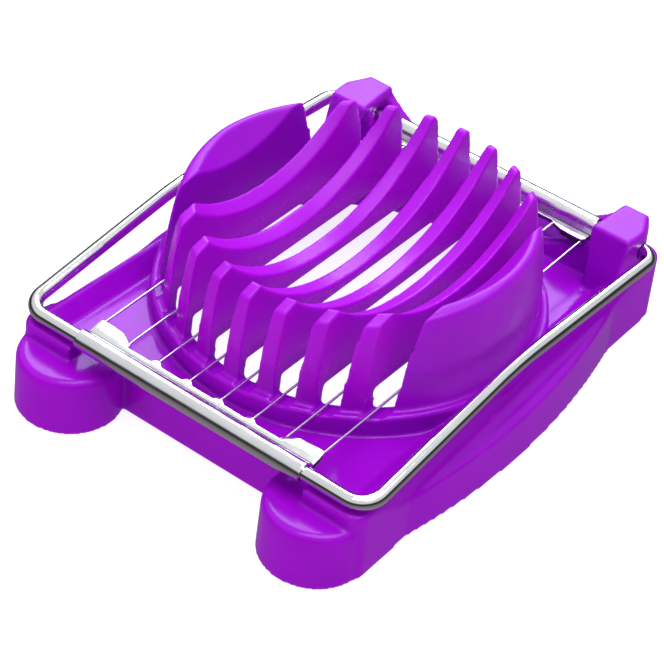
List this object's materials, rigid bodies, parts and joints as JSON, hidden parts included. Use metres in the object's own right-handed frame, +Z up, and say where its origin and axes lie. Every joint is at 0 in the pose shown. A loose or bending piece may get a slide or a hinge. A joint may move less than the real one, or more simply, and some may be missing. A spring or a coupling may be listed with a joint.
{
  "type": "egg slicer",
  "caption": "Plastic egg slicer: a round slotted egg bowl on a bowed base with lobed front feet, and a hinged chrome wire frame strung with cutting wires.",
  "frame": {"origin": "middle of the footprint, on the table", "axes": "+X across the width, +Y from the front bar towards the hinge, +Z up"},
  "size_m": [0.0986, 0.1294, 0.0423],
  "materials": {
    "purple_plastic": "glossy injection-moulded plastic, translucent-looking purple",
    "chrome": "bright chrome plate",
    "wire_steel": "drawn stainless wire"
  },
  "bodies": {
    "base": {"base": "purple_plastic"},
    "cutting_frame": {"wire_frame": "chrome", "front_strip": "chrome", "rear_strip": "chrome", "cutting_wire_1": "wire_steel", "cutting_wire_2": "wire_steel", "cutting_wire_3": "wire_steel", "cutting_wire_4": "wire_steel", "cutting_wire_5": "wire_steel", "cutting_wire_6": "wire_steel", "cutting_wire_7": "wire_steel", "cutting_wire_8": "wire_steel"}
  },
  "joints": [
    {"name": "frame_hinge", "type": "hinge", "parent": "base", "child": "cutting_frame", "pos_m": [0, 0.05384, 0.0229], "axis": [-1, 0, 0], "range_deg": [0, 105]}
  ]
}
